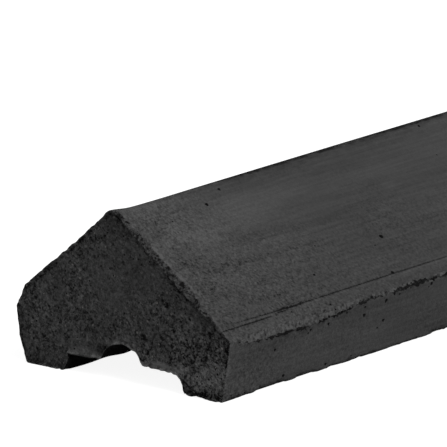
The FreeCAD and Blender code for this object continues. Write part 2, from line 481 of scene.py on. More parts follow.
WAVE, RIPPLE = 0.16 * MM, 0.08 * MM
wave = WAVE * clods(rest, (60, 150, 60), 3) + RIPPLE * clods(rest, (14, 45, 14), 4)

SCORE_DEPTH = 0.3 * MM
SCORE_HALF_WIDTH = 0.55 * MM
SCORE_BEND, BEND_REACH = 0.8 * MM, 26 * MM  # how far the main line bends up at the near end
SECOND_SCORE_UP = 7.2 * MM
SECOND_SCORE_END = 62 * MM  # where the second line, near the end, has run up into the first
PALE_BESIDE, PALE_HALF_WIDTH = 1.1 * MM, 0.8 * MM  # the pale rim of a line, below it
PALE_SHARE = 0.3


def line_at(up, half_width):
    """1 on a line that far up the slope, falling to 0 at the half width."""
    return np.clip(1 - np.abs(up_slope - up) / half_width, 0, 1) * on_slope


main_up = SCORE_UP + SCORE_BEND * bell(from_near, BEND_REACH)
main_share = (0.75 + 0.4 * clods(rest, 22, 8)) * ramp(from_near, 2 * MM, 22 * MM)
run_up = ramp(from_near, 0.4 * SECOND_SCORE_END, SECOND_SCORE_END)
run_out = ramp(from_near, 0.8 * SECOND_SCORE_END, SECOND_SCORE_END)
second_up = SECOND_SCORE_UP + (SCORE_UP - SECOND_SCORE_UP) * run_up
second_share = (1 - run_out) * ramp(from_near, -2 * MM, 4 * MM)
main_line = line_at(main_up, SCORE_HALF_WIDTH) * main_share
second_line = line_at(second_up, SCORE_HALF_WIDTH) * second_share
scored = np.where(on_end_face, 0, np.maximum(main_line, second_line))
pale_rim = line_at(SCORE_UP - PALE_BESIDE, PALE_HALF_WIDTH) * main_share
skin -= outward * ((wave + SCORE_DEPTH * scored) * formed * ~on_end_face)[:, None]
print("waves in mm:", np.round([wave.min() / MM, wave.max() / MM], 2))

# %% [markdown]
# ## The underside
#
# The cap is cast upside down, so its feet and its channel are the open top of the mould: struck off by hand,
# and never quite straight. The feet stay on or above the floor, the channel's walls wander by a millimetre,
# and the left foot is fuller near the near end, where the trowel left more concrete.

# %% Roughness of the underside
UNDER_ROUGH = 0.2 * MM
WALL_WANDER = 1.2 * MM
LIP_STEADY = 0.35  # the groove's lips wander less than the feet
FOOT_BULGE = (3.4 * MM, 14 * MM, 17 * MM)  # how far it stands out, where along the cap, and its reach
LIP_BULGE = (1.1 * MM, 16 * MM, 8 * MM)
BLEND = 6  # cells over which one surface turns into the next
MOUTH_BLEND = 14

ring_from_ridge = np.abs(ring_number - RIDGE_TOP)
underside = ramp(ring_from_ridge, foot_edge - BLEND, foot_edge + BLEND)
channel_share = ramp(ring_from_ridge, mouth_edge - MOUTH_BLEND, mouth_edge + BLEND)
in_channel = channel_share[round_at]
in_middle = np.abs(rest[:, 0]) < CHANNEL_HALF / 2
rough = UNDER_ROUGH * (1 + rubble(rest, (9, 14, 9), 21)) * 0.5
wander = WALL_WANDER * rubble(rest, (30, 38, 30), 22, octaves=2) * np.where(in_middle, LIP_STEADY, 1)
proud, at, reach = np.where(in_middle, np.array(LIP_BULGE)[:, None], np.array(FOOT_BULGE)[:, None])
bulge = proud * bell(from_near - at, reach) * (round_at < LEFT_EAVE) * (outward[:, 0] > 0.5)
moved = (rough + (wander - bulge) * in_channel) * underside[round_at] * on_lateral
skin -= outward * moved[:, None]
print("lowest point in mm:", round(skin[:, 2].min() / MM, 3))

# %% [markdown]
# ## The sawn or broken ends
#
# The ends show what the concrete is made of. There is no lining against them, so stones and sand stand out,
# and between them are creases and pits. A little inside the outline the paste has sunk, which leaves a thin
# rim. The relief is pushed into the cap, so that its length stays the same within a third of a millimetre.

# %% Relief of the end faces
END_SINK = 0.7 * MM  # the highest stones stay near the cap's true length
CLOD_HEIGHT, STONE_HEIGHT, SAND_HEIGHT = 0.6 * MM, 0.8 * MM, 0.45 * MM
PIT_DEPTH = 1.3 * MM
RIM_DEPTH, RIM_IN, RIM_WIDE = 0.45 * MM, 1.7 * MM, 0.8 * MM
CALM_BORDER = 1.6 * MM  # within this of the outline the relief is lower, down to a share of it
CALM_SHARE = 0.25
ARRIS_REACH, ARRIS_SHARE = 0.8 * MM, 0.8  # how far round the arris the relief runs, and how strongly


def end_relief(points, seed):
    """How far in a broken end face lies: an even depth, less large clods, stones that are round on top and
    sand grains, plus pits where a random field is at its highest."""
    clod = CLOD_HEIGHT * rubble(points, 16, seed, octaves=2)
    stone = STONE_HEIGHT * (0.55 - pebbles(points, 2.5, seed + 5))
    sand = SAND_HEIGHT * clods(points, 1.15, seed + 9)
    coarse_here = 0.7 + 0.5 * clods(points, 24, seed + 12)
    pit = PIT_DEPTH * ramp(clods(points, 2.4, seed + 14), 0.5, 0.95)
    return END_SINK - clod - (stone + sand) * coarse_here + pit


calm = CALM_SHARE + (1 - CALM_SHARE) * ramp(from_outline, 0, CALM_BORDER)
rim = RIM_DEPTH * bell(from_outline - RIM_IN, RIM_WIDE)
for inwards, seed, on_face, from_end in ((1, 40, on_near_face, from_near), (-1, 70, on_far_face, from_far)):
    sunk = end_relief(rest, seed) * calm + rim
    skin[:, 1] += inwards * sunk * (on_face + ARRIS_SHARE * fade(from_end, ARRIS_REACH) * on_lateral)
    print("relief of an end in mm:", np.round(np.percentile(sunk[on_face] / MM, [0, 50, 100]), 2))

# %% [markdown]
# ## Broken arrises
#
# Wherever a formed face meets an end, the sharp arris crumbles. The outline is drawn in by a random amount
# that changes every few millimetres, most along the underside, and the break fades out a few millimetres
# from the arris. On the right slope the near end's arris has come away altogether, as far back as the table
# says, while concrete stands proud on the ridge beside it. The eaves and the outer edges of the feet are
# worn too: there the corner is cut back to a plane through two lines along the cap, one on each of the faces
# that meet at it.

# %% Ragged outline at both ends
RAGGED, RAGGED_CHANNEL, RAGGED_SOLE = 0.6 * MM, 0.5 * MM, 0.5 * MM
SOLE_UP = 1 * MM  # a foot's sole lies lower than this
LARGE_CHIP = 1.6 * MM
RIGHT_CHANNEL = 1.9  # the channel is that much more ragged on the right
LEFT_CALM, LEFT_PROUD = 0.6, 0.3 * MM  # the left half's arris is less ragged, and fuller
LENGTH_REACH, FACE_REACH = 1.8 * MM, 2.4 * MM


def ragged_depth(seed):
    """How far the outline is drawn in at one end: small teeth on two scales, larger chips where a slow field
    is at its highest, and more along the channel and the right foot's sole."""
    x, z = ring_place.T
    on_right = x > 0
    at = np.stack([x, np.zeros(RING), z], axis=1)
    teeth = 1.1 * clods(at, 5.2, seed) + 0.8 * clods(at, 2.1, seed + 1) - 0.8
    depth = RAGGED * np.clip(teeth, -1.2, None) + LARGE_CHIP * ramp(clods(at, 8, seed + 2), 0.5, 1.3)
    depth = depth * np.where(on_right, 1, LEFT_CALM) - LEFT_PROUD * ~on_right
    depth += RAGGED_CHANNEL * channel_share * np.where(on_right, RIGHT_CHANNEL, 1)
    return (depth + RAGGED_SOLE * (z < SOLE_UP) * (x > MOUTH_HALF))[round_at]


drawn_in = np.zeros(len(rest))
for seed, on_face, from_end in ((51, on_near_face, from_near), (61, on_far_face, from_far)):
    along_cap = fade(from_end, LENGTH_REACH) * on_lateral
    drawn_in += ragged_depth(seed) * np.where(on_face, fade(from_outline, FACE_REACH), along_cap)
skin -= outward * drawn_in[:, None]
broken = ramp(drawn_in, 0.15 * MM, 0.6 * MM)
print("arris drawn in by up to, in mm:", round(drawn_in.max() / MM, 2))

# %% Break back the near end's arris
# On the right slope: how far up from the eave, and how far the break reaches along the cap, in millimetres.
ARRIS_BREAK = np.array([
    (0, 0.5), (7, 0.6), (13, 1.6), (17, 2.9), (23, 2.4), (29, 3.2), (34, 4.6), (38, 3.8), (45, 3.1),
    (52, 3.4), (60, 3.9), (66, 3.2), (72, 3.1), (78, 2.7), (84, 1.6),
])
BREAK_VARIES = 0.22
BREAK_SLOPE = 0.5  # how steeply the break drops towards the end
BREAK_ROUGH = 0.5 * MM
BREAK_IN = 3 * MM  # how far the break and the burr reach down the end face
CREST_BURR, BURR_HALF, BURR_REACH = 1.3 * MM, 6 * MM, 8 * MM  # what stands proud on the ridge's near end

break_back = np.interp(up_slope, *(ARRIS_BREAK * MM).T) * (side_of > 0) * on_slope
break_back *= 1 + BREAK_VARIES * clods(rest * (1, 0, 1), 3.2, 55)
cut = BREAK_SLOPE * np.clip(break_back - from_near, 0, None) * fade(from_outline, BREAK_IN)
cut += BREAK_ROUGH * rubble(rest, 2.6, 56, octaves=2) * ramp(cut, 0, 0.5 * MM)
skin -= outward * np.where(on_far_face, 0, np.clip(cut, 0, None))[:, None]
burr = CREST_BURR * bell(rest[:, 0], BURR_HALF) * bell(from_near, BURR_REACH) * fade(from_outline, BREAK_IN)
skin[:, 2] += burr * on_slope
print("arris broken back by up to, in mm:", round(break_back.max() / MM, 1))

# %% Bevel a worn arris
BEVEL_ROUGH = 0.16 * MM


def bevel(skin, hand, corner, before, after, reach_before, reach_after):
    """Cuts a corner of the section back to a plane, and returns how much stood proud of it. The plane passes
    through two lines along the cap: one lies on the face before the corner, and one on the face after it,
    each as far from the corner as the reach says. The hand is -1 for the left side, which is the right side
    mirrored."""
    first = corner - before * reach_before[:, None]
    across = corner + after * reach_after[:, None] - first
    square = np.stack([-across[:, 2], np.zeros(len(skin)), across[:, 0]], axis=1)
    square /= np.linalg.norm(square, axis=1, keepdims=True)
    over = ((skin * (hand, 1, 1) - first) * square * (1, 0, 1)).sum(axis=1)
    proud = np.clip(over, 0, None) * (side_of == hand)
    uneven = BEVEL_ROUGH * (1 + clods(rest, 1.8, 77)) * ramp(proud, 0.05 * MM, 0.5 * MM)
    skin -= square * (proud + uneven)[:, None] * (hand, 1, 1)
    return proud


# %% Wear the eaves, the feet and the ridge
# The break beside the near end of the right eave: along the cap and down the side in millimetres, how open.
EAVE_BREAK = np.array([
    (0, 1.0, 0.1), (6, 1.6, 0.2), (12, 2.2, 0.4), (18, 2.9, 0.6), (25, 3.4, 0.6), (29, 3.7, 1.3),
    (33, 3.6, 0.6), (37, 3.6, 1.2), (44, 3.6, 1.0), (50, 4.0, 1.2), (54, 4.0, 0.4), (58, 3.9, 1.1),
    (63, 3.7, 1.3), (67, 3.2, 0.3), (73, 2.6, 0.9), (78, 2.3, 1.0), (82, 1.6, 0.4), (86, 0.9, 1.2),
    (90, 0.6, 1.1), (96, 0.1, 0.8), (106, 0.7, 0.3), (118, -0.3, 1.4), (127, -0.2, 1.7), (132, -0.4, 0.9),
    (141, 0.0, 0.8),
])
PLACED_UNTIL = 141 * MM
EAVE_DOWN, EAVE_VARIES, LEAST_DOWN = 1.4 * MM, 2.8 * MM, 1.1 * MM
BEVEL_UP = 2 * MM  # how far up the slope an eave's wear starts
FOOT_WEAR, FOOT_WEAR_VARIES, LEAST_WEAR = 1.4 * MM, 2.2 * MM, 0.1 * MM
RIDGE_WORN, RIDGE_REACH = 0.2 * MM, 9 * MM

lean = math.atan2(SIDE_DRAFT, EAVE_HEIGHT)
slope_down = np.array([math.cos(pitch), 0, -math.sin(pitch)])
side_down = np.array([-math.sin(lean), 0, -math.cos(lean)])
sole_in = np.array([-1, 0, 0])
eave_corner = np.array([EAVE_HALF, 0, EAVE_HEIGHT])
foot_corner = np.array([EAVE_HALF - SIDE_DRAFT, 0, 0])

on_line = rest * (0, 1, 0)
break_along, placed_down, placed_open = EAVE_BREAK.T
placed = 1 - ramp(from_near, PLACED_UNTIL, 1.12 * PLACED_UNTIL)
whole_beside_ends = ramp(from_near, 2 * MM, 13 * MM) * ramp(from_far, 1 * MM, 9 * MM)
break_down, break_open, worn = np.zeros((3, len(rest)))
for hand, seed in ((1, 81), (-1, 91)):
    here = side_of == hand
    down = EAVE_DOWN + EAVE_VARIES * rubble(on_line, 46, seed)
    opened = np.clip(0.5 + 1.6 * rubble(on_line, 15, seed + 3), 0, 1.6)
    if hand == 1:
        down += placed * (np.interp(from_near, break_along * MM, placed_down * MM) - down)
        opened += placed * (np.interp(from_near, break_along * MM, placed_open) - opened)
    break_down[here], break_open[here] = down[here], opened[here]
    up = BEVEL_UP * whole_beside_ends
    worn += bevel(skin, hand, eave_corner, slope_down, side_down, up, np.clip(down, LEAST_DOWN, None))
    wear = np.clip(FOOT_WEAR + FOOT_WEAR_VARIES * rubble(on_line, 9, seed + 5), LEAST_WEAR, None)
    bevel(skin, hand, foot_corner, side_down, sole_in, wear, wear)
ridge_wear = RIDGE_WORN * bell(rest[:, 0], RIDGE_REACH) * ramp(from_near, 3 * MM, 40 * MM)
skin[:, 2] -= ridge_wear * on_slope * on_lateral
print("eaves worn by up to, in mm:", round(worn.max() / MM, 2))

# %% Corners knocked off
# Each knock is a plane: a point that it passes through, which way it faces, and how rough it is. Places and
# roughness are in millimetres, with the near end at 0 along the cap.
KNOCKS = [
    ((-60.2, 0, 36.8), (-0.81, -0.30, 0.50), 0.4),
    ((-65.6, 0, 16.0), (-0.97, -0.24, -0.10), 0.3),
    ((-65.0, 0, 12.0), (-0.94, -0.24, -0.26), 0.3),
    ((69.0, 1840, 30.0), (0.75, 0.60, 0.30), 0.4),
    ((-62.5, 1838.5, 0), (-0.60, 0.65, -0.45), 0.3),
]
KNOCK_DEEPER = 1.05  # a knock goes a little deeper than its plane, so that it is a scoop
for place, facing, roughness in KNOCKS:
    facing = np.array(facing) / np.linalg.norm(facing)
    place = np.array(place) * MM + (0, near_end, 0)
    rough = roughness * MM * rubble(rest, 4, 97)
    proud = np.clip((skin - place) @ facing + rough, 0, None)
    skin -= facing * (KNOCK_DEEPER * proud)[:, None]
    broken = np.maximum(broken, ramp(proud, 0.02 * MM, 0.4 * MM))
skin[:, 2] = np.clip(skin[:, 2], 0, None)
print("points on broken arrises:", int((broken > 0.5).sum()))

# %% [markdown]
# ## Bug holes
#
# Air bubbles that were caught against the mould leave small round holes in the formed faces. Each hole takes
# the point nearest to its middle, draws the points around it in to the rim, and sinks the middle. Those near
# the near end are placed one by one, with small nicks along the eave's break and the foot among them, and the
# others are strewn at random.

# %% Place the bug holes
# On the right side of the cap, in millimetres: along the cap, how far down the side from the sharp eave,
# radius. Those whose second number is negative lie up the slope.
PLACED_HOLES = [
    (51, -75, 0.95), (64, -81, 0.8), (203.5, -82.4, 0.7), (128, -30, 1.1), (75, -21.5, 0.65), (118, -10, 0.9),
    (89, -37, 0.4), (46, -9.4, 0.5), (46.5, -6, 0.4), (70, -3.4, 0.6), (90, 8.5, 0.9), (105, 14.5, 0.75),
    (102, 17, 0.5), (32, 11.5, 0.7), (39, 26, 0.8), (68, 27, 0.7), (133, 3.4, 0.4), (54, 6.6, 0.6),
    (53.5, 8, 0.5), (66, 6.2, 0.7), (67, 2.7, 0.6), (70.5, 3.3, 0.65), (72, -0.1, 0.5), (75, 2.3, 0.75),
    (79, 3.8, 0.55), (80.6, 1.8, 0.6), (63.6, 3.9, 0.8), (90, 3.7, 0.6), (104, 3.5, 0.8), (104.4, 5, 0.6),
    (111, 2.1, 0.6), (114, 2.3, 0.5), (136.5, 2.4, 0.85), (138, 0.9, 0.6), (15, 28.3, 0.55), (26, 28.2, 0.7),
    (37, 28, 0.5), (49, 28.2, 0.5), (85, 27, 0.4),
]
STREWN = 16
STREWN_FROM, STREWN_CLEAR = 240 * MM, 6 * MM  # from the near end, and clear of the far one
STREWN_SMALL, STREWN_LARGE = 0.5 * MM, 1.0 * MM

holes = []
for y, down, radius in PLACED_HOLES:
    middle = eave_corner + (side_down if down > 0 else slope_down) * down * MM
    holes.append((middle + (0, near_end + y * MM, 0), radius * MM))
rng = np.random.default_rng(7)
rows_apart = np.gradient(path[:, 1])[ring_of]  # where rings are far apart, a point stands for more
could_hold = formed & ~on_end_face & (worn == 0) & (from_near > STREWN_FROM) & (from_far > STREWN_CLEAR)
chance = np.where(could_hold, rows_apart * steps_used[ring_of], 0)
picked = rng.choice(len(rest), STREWN, replace=False, p=chance / chance.sum())
holes += list(zip(rest[picked], rng.uniform(STREWN_SMALL, STREWN_LARGE, STREWN)))

# %% Sink the bug holes
PULL = 0.5  # how far towards the middle a point close to it is drawn
PULL_REACH, BOWL_REACH = 2.6, 1.2  # of the radius, and so are the next two
HOLE_DEPTH = 1.0
BUBBLE_BELOW = 0.4  # how far under the face the bubble's middle lay

bubbles = []
for middle, radius in holes:
    nearest = np.where(on_end_face, FAR_OFF, np.linalg.norm(skin - middle, axis=1)).argmin()
    arm = skin - skin[nearest]
    skin -= arm * (PULL * bell(np.linalg.norm(arm, axis=1), PULL_REACH * radius))[:, None]
    bubbles.append((skin[nearest] - outward[nearest] * BUBBLE_BELOW * radius, radius))
    away = np.linalg.norm(skin - skin[nearest], axis=1) / (BOWL_REACH * radius)
    skin -= outward * (np.clip(1 - away**2, 0, 1) * HOLE_DEPTH * radius)[:, None]
print("bug holes:", len(bubbles), "of which placed by hand:", len(PLACED_HOLES))

# %% [markdown]
# ## Stains and painted shade
#
# A casting's tone changes in soft patches, paler and darker; it is paler where a skin of lime formed. They
# are placed on the right slope, the right side and the near end. One dark patch on the side, just below the
# eave near the near end, is painted shade, and the soles' edges are darkened on both ends as painted shade.

# %% Stains and painted shade
# On the right side of the cap, in millimetres: along the cap, how far up the slope (down the side when
# negative), half length, half height, and then the tone.
SKIN_STAINS_AND_SHADE = [
    (22, 64, 9, 7, 0.24), (35, 57, 9, 7, 0.26), (9, 58, 6, 9, 0.16), (14, 84, 16, 6, 0.22),
    (66, 67, 34, 8, 0.18), (157, 56, 4, 3, 0.14), (15, 50, 7, 4, -0.20), (13, 31, 8, 5, -0.14),
    (62, 51, 22, 2.8, -0.13),
    # the patch 8 mm down the side near the near end is painted shade below the eave
    (112, 48.5, 34, 2.6, -0.13), (162, 33, 24, 2.2, -0.08), (24, -8, 20, 4, -0.10), (135, -25, 40, 5, -0.10),
]
# On the near end: across the cap, height, half width, half height, and then the tone.
END_STAINS = [
    (4, 76, 9, 7, -0.08), (29, 42, 7, 4, -0.08), (22, 24, 5, 5, -0.08), (57, 35, 5, 5, -0.13),
    (69, 26, 4, 5, -0.26), (52, 20, 8, 7, -0.10), (24, 11.5, 8, 1.7, 0.85), (36, 10.5, 4, 2.4, 0.60),
    (60, 12, 8, 5, 0.46), (50, 8, 6, 4, 0.38), (-5, 42, 26, 14, 0.05), (-53, 9, 9, 6, 0.09),
    (-50, 37, 5, 5, 0.08), (-46, 22, 9, 7, 0.08), (-28, 18, 8, 6, 0.07), (-25, 11.5, 8, 1.4, 0.40),
    (5, 21, 6, 1.5, 0.22), (-12.5, 14, 3.5, 3, -0.28), (-5, 18.5, 3, 1.5, 0.30), (-10, 18, 2.5, 1.2, 0.22),
    (15.5, 24, 1.2, 1.4, -0.5), (17, 25, 1.2, 1.2, 0.35), (-52, 35, 1.6, 1.5, 0.28), (-50, 13.5, 4, 4, -0.10),
]
# painted shade: a dark band along the bottom of both end faces, over the soles' edges
SOLE_SHADE, SOLE_SHADE_UP = 0.30, 3.2 * MM
SOLE_SHADE_LEFT = 0.35  # of what it is on the right


def stained(stains, across, up):
    """The sum of soft patches: each has its tone in the middle and fades as exp(-a^2 - b^2), where a and b
    are the distances from its middle over its half sizes."""
    middle, height, half_wide, half_high, tone = np.array(stains).T[:, :, None]
    return (tone * bell(across / MM - middle, half_wide) * bell(up / MM - height, half_high)).sum(axis=0)


stain = np.where(formed & (side_of > 0) & ~on_end_face, stained(SKIN_STAINS_AND_SHADE, from_near, -below_eave), 0)
stain += np.where(on_near_face, stained(END_STAINS, rest[:, 0], rest[:, 2]), 0)
sole_share = np.where(rest[:, 0] > 0, 1, SOLE_SHADE_LEFT) * on_end_face
stain -= SOLE_SHADE * bell(rest[:, 2], SOLE_SHADE_UP) * sole_share
print("stains from", round(stain.min(), 2), "to", round(stain.max(), 2))

# %% [markdown]
# ## The mesh
#
# The points and faces go into one mesh. Its corners also get a flat map of their own, for keeping the finish
# as pictures: the near part, which is seen closest, has about half of the room, the long rest has a strip,
# and each end face has a corner. The seam runs along the groove's crown, where nobody looks.

# %% The mesh and its flat map
END_FACE_WIDE, END_FACE_HIGH = 2 * EAVE_HALF, apex
ROOMS = {  # low corner and high corner on the map
    "near": ((0.005, 0.005), (0.820, 0.585)),
    "rest": ((0.005, 0.597), (0.995, 0.995)),
    "near_face": ((0.834, 0.005), (0.995, 0.300)),
    "far_face": ((0.834, 0.312), (0.995, 0.585)),
}


def in_room(name, u, v):
    """Places on the map: u and v, from 0 to 1, spread over the room from its low to its high corner."""
    low, high = (np.array(corner) for corner in ROOMS[name])
    return low + np.stack([u, v], axis=-1) * (high - low)


def flat_map():
    """The map's place for every corner of every face: how far round against how far along on the long faces,
    and height against width on the ends."""
    along_cap = path[face_ring, 1]
    around = np.append(ring_length, ring_length[-1] + np.linalg.norm(ring_place[0] - ring_place[-1]))
    around = around[face_round] / around[-1]
    across = rest[vertex, 0] / END_FACE_WIDE + 0.5
    up = rest[vertex, 2] / END_FACE_HIGH
    corner_inset = path[face_ring, 0].max(axis=1)
    is_near_face = (along_cap.max(axis=1) == 0) & (corner_inset > 0)
    is_far_face = (along_cap.min(axis=1) == length) & (corner_inset > 0)
    is_near = along_cap.max(axis=1) <= FINE_ZONE * 1.001
    places = in_room("rest", (along_cap - FINE_ZONE) / (length - FINE_ZONE), around)
    places[is_near] = in_room("near", around, along_cap / FINE_ZONE)[is_near]
    places[is_near_face] = in_room("near_face", up, across)[is_near_face]
    places[is_far_face] = in_room("far_face", up, across)[is_far_face]
    return places, is_near_face | is_far_face


map_places, is_end = flat_map()
FORMED, BROKEN_END, UNDERSIDE = range(3)
face_middle = np.abs(face_round.mean(axis=1) - RIDGE_TOP)
finish_of = np.where(face_middle > foot_edge, UNDERSIDE, FORMED)
finish_of[is_end] = BROKEN_END
print("faces of each finish:", np.bincount(finish_of))


def mesh_of(name):
    """A mesh with the skin's points and faces. A corner that repeats the one before it is left out, so that
    it closes as a triangle."""
    mesh = bpy.data.meshes.new(name)
    mesh.vertices.add(len(skin))
    mesh.vertices.foreach_set("co", skin.ravel())
    kept = ~repeated
    sizes = kept.sum(axis=1)
    mesh.loops.add(int(sizes.sum()))
    mesh.loops.foreach_set("vertex_index", vertex[kept])
    mesh.polygons.add(len(sizes))
    mesh.polygons.foreach_set("loop_start", np.concatenate([[0], np.cumsum(sizes)[:-1]]))
    mesh.polygons.foreach_set("material_index", finish_of)
    mesh.polygons.foreach_set("use_smooth", np.ones(len(sizes), bool))
    mesh.update(calc_edges=True)
    kept_map = mesh.uv_layers.new(name="OFBake")
    kept_map.uv.foreach_set("vector", map_places[kept].ravel())
    return mesh


# %% [markdown]
# ## Marks
#
# What happened to each point is kept in marks, which are numbers that the finishes read: where the skin is
# broken, worn, scored or sandy, how far a point lies from the crack, the foot and the broken arris, and where
# the light rims and the stains are. Painted shade is marked too: the sunk line, the crest, and a part of the
# stains.

# %% Marks for the finishes
RIM_LIGHT_REACH, LIP_REACH = 1.1 * MM, 1.1 * MM
RIM_LIGHT_IN = 0.9 * MM  # off the slope: how far from the end the light rim lies
SUNK_SHADE_IN, SUNK_SHADE_WIDE = 1.3 * MM, 0.8 * MM
CREST_SHADE_HALF, CREST_SHADE_REACH = 1.6 * MM, 5 * MM
SANDY_REACH = 110 * MM

patchy = np.clip(0.55 + 1.6 * clods(rest, 2.6, 33), 0, 1.6)
lower_right = ramp(rest[:, 0], -30 * MM, 60 * MM) * (1 - ramp(rest[:, 2], 6 * MM, 46 * MM))
lower_left = ramp(-rest[:, 0], 15 * MM, 45 * MM)
upper_slope = ramp(up_slope, 32 * MM, 58 * MM) * ramp(from_near, 20 * MM, 80 * MM)
sandy_here = 0.2 + 0.8 * fade(from_near, SANDY_REACH) + 0.25 * clods(rest, 30, 35)
sandy_here *= np.where(on_slope, 1 - 0.65 * upper_slope, 0.7)
from_crest = np.abs(ring_length[round_at] - ring_length[RIDGE_TOP])
# painted shade along the ridge, where its rounding turns away from the lamp
crest = bell(from_crest, CREST_SHADE_HALF) + 0.5 * fade(from_crest, CREST_SHADE_REACH)
from_rim = np.minimum(from_near - np.where(on_slope, break_back, RIM_LIGHT_IN), from_far)
rim_here = np.where(on_slope, 0.25 + 0.9 * bell(up_slope - 54 * MM, 14 * MM), 0.8)
rim_light = fade(np.abs(from_rim), RIM_LIGHT_REACH) * ramp(from_rim, -1 * MM, 0) * rim_here
# painted shade in the shallow recess just inside an end's rim
sunk_line = bell(from_outline - SUNK_SHADE_IN, SUNK_SHADE_WIDE) * on_end_face * (1 - underside[round_at])
foot_at = ring_length[RIDGE_TOP + foot_edge] - ring_length[RIGHT_EAVE]  # measured down from the eave
marks = {
    "broken": broken,
    "worn": ramp(worn, 0.02 * MM, 0.4 * MM),
    "from_break": (below_eave - break_down) / MM,
    "break_open": break_open * ramp(from_near, 0.5 * MM, 5 * MM),
    "scored": scored - PALE_SHARE * pale_rim,
    "sandy": np.clip(sandy_here, 0.08, 1.2),
    "open_sand": 0.65 + 0.9 * lower_right + 0.25 * lower_left + 0.3 * clods(rest, 13, 36),
    "crest": crest * ramp(from_near, 8 * MM, 120 * MM) * on_lateral,
    "rim_light": rim_light * on_lateral * patchy,
    "lip_light": fade(from_outline, LIP_REACH) * on_end_face * in_channel * patchy,
    "sunk_line": sunk_line * patchy,
    # the channel's mark also carries its painted shade
    "in_channel": in_channel * on_lateral,
    "stain": stain,
    "up_slope": up_slope / up_slope.max(),
    "arris_break": (break_back - from_near) / MM,
    "from_foot": (foot_at - below_eave) / MM,
    "side_face": (below_eave > 0) * on_lateral * formed,
    "far_along": ramp(from_near, 120 * MM, 330 * MM),
}
print("marks:", *marks)

# %% Build the cast cap
cap_mesh = mesh_of("cast_cap")
for name, values in marks.items():  # a number for each point, which the finishes read
    cap_mesh.attributes.new(name, "FLOAT", "POINT").data.foreach_set("value", values)
print("mesh valid:", not cap_mesh.validate(), "faces:", len(cap_mesh.polygons))

cast_cap = bpy.data.objects.new("cast_cap", cap_mesh)
bpy.context.scene.collection.objects.link(cast_cap)
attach(cast_cap, "root")
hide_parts(NODE)

# %% [markdown]
# ## Shared effects of the finishes
#
# Concrete is one material with three faces: formed, broken and rough. They share the same sand, the same
# cloudy tone of the cement and the same pores, at different strengths. Each effect is a node group that is
# built once. A group puts out plain values only, and the shader stays in the material.

# %% Helpers for nodes


def add_node(tree, kind, inputs=None, **settings):
    """Adds a node, sets its properties, and sets or links its inputs by name or number."""
    made = tree.nodes.new(kind)
    for name, value in settings.items():
        setattr(made, name, value)
    for key, value in (inputs or {}).items():
        if isinstance(value, bpy.types.NodeSocket):
            tree.links.new(value, made.inputs[key])
        else:
            made.inputs[key].default_value = value
    return made


def calc(tree, operation, *values, clamp=False):
    """A Math node on values or sockets, and its result."""
    made = add_node(tree, "ShaderNodeMath", dict(enumerate(values)), operation=operation, use_clamp=clamp)
    return made.outputs[0]


def blend(tree, factor, low, high):
    """A colour between two colours."""
    made = add_node(tree, "ShaderNodeMix", {0: factor, 6: low, 7: high}, data_type="RGBA")
    return made.outputs[2]


def grey(level, warmth=0.0):
    """A grey of this level, with red raised and blue lowered by the warmth's share."""
    return (level * (1 + warmth), level, level * (1 - warmth), 1)


def new_group(name, inputs, outputs):
    """An empty node group with a Vector input, number inputs that have defaults, and number outputs. It
    returns the group, the inputs to read and the outputs to fill."""
    group = bpy.data.node_groups.new(name, "ShaderNodeTree")
    group.interface.new_socket("Vector", in_out="INPUT", socket_type="NodeSocketVector")
    for label, default in inputs.items():
        socket = group.interface.new_socket(label, in_out="INPUT", socket_type="NodeSocketFloat")
        socket.default_value = default
    for label in outputs:
        group.interface.new_socket(label, in_out="OUTPUT", socket_type="NodeSocketFloat")
    start = group.nodes.new("NodeGroupInput").outputs
    end = group.nodes.new("NodeGroupOutput").inputs
    return group, start, end


# %% Clouds, sand, spots and bubbles


def cloud_group():
    """Tone from -1 to 1 in soft clouds. The cloud's size is in millimetres, and it is longer along the cap
    by the stretch."""
    group, start, end = new_group("cement_clouds", {"Size": 40, "Stretch": 2, "Detail": 3}, ["Tone"])
    across = calc(group, "DIVIDE", 1 / MM, start["Size"])
    along = calc(group, "DIVIDE", across, start["Stretch"])
    scale = add_node(group, "ShaderNodeCombineXYZ", {0: across, 1: along, 2: across}).outputs[0]
    place = add_node(group, "ShaderNodeVectorMath", {0: start["Vector"], 1: scale}, operation="MULTIPLY")
    reads = {"Vector": place.outputs[0], "Scale": 1, "Detail": start["Detail"]}
    noise = add_node(group, "ShaderNodeTexNoise", reads)
    centred = calc(group, "SUBTRACT", noise.outputs[0], 0.5)
    group.links.new(calc(group, "MULTIPLY", centred, 4), end["Tone"])
    return group


def sand_group():
    """Tone and height from -1 to 1 of sand: uneven grains, each a cell of its own grey with a crease round
    it."""
    group, start, end = new_group("sand_grain", {"Size": 1}, ["Tone", "Height"])
    scale = calc(group, "DIVIDE", 1 / MM, start["Size"])
    cells = add_node(group, "ShaderNodeTexVoronoi", {"Vector": start["Vector"], "Scale": scale})
    one = add_node(group, "ShaderNodeSeparateColor", {0: cells.outputs["Color"]}).outputs[0]
    noise = add_node(group, "ShaderNodeTexNoise", {"Vector": start["Vector"], "Scale": scale, "Detail": 2})
    uneven = calc(group, "MULTIPLY", calc(group, "SUBTRACT", noise.outputs[0], 0.5), 3)
    grain_tone = calc(group, "MULTIPLY", calc(group, "SUBTRACT", one, 0.5), 1.2)
    round_top = calc(group, "SUBTRACT", 0.5, cells.outputs["Distance"])
    group.links.new(calc(group, "ADD", grain_tone, uneven), end["Tone"])
    group.links.new(calc(group, "ADD", round_top, uneven), end["Height"])
    return group


